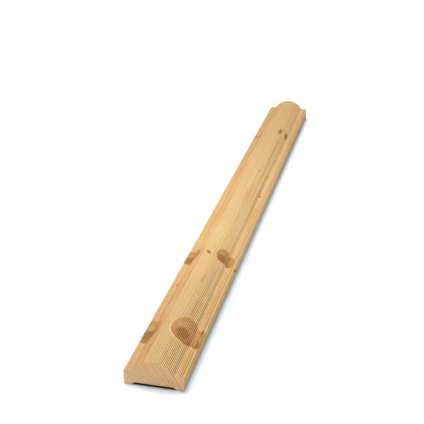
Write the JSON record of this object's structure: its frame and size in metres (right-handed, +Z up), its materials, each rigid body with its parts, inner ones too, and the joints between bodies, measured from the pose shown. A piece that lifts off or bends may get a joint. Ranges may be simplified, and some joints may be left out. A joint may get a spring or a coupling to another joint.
{
  "type": "roof batten",
  "caption": "Planed softwood batten with a rounded crown between two flat shoulders, and a relieved back that beds on two narrow feet.",
  "frame": {"origin": "middle of the bed plane, on the plane of the two feet and half way along the batten", "axes": "+X across the width, +Y along the length, +Z up from the feet to the crown"},
  "size_m": [0.045, 0.6, 0.021],
  "materials": {
    "softwood": "planed, unfinished, with knots and sawn ends"
  },
  "bodies": {
    "root": {"roof_batten": "softwood"}
  },
  "joints": []
}
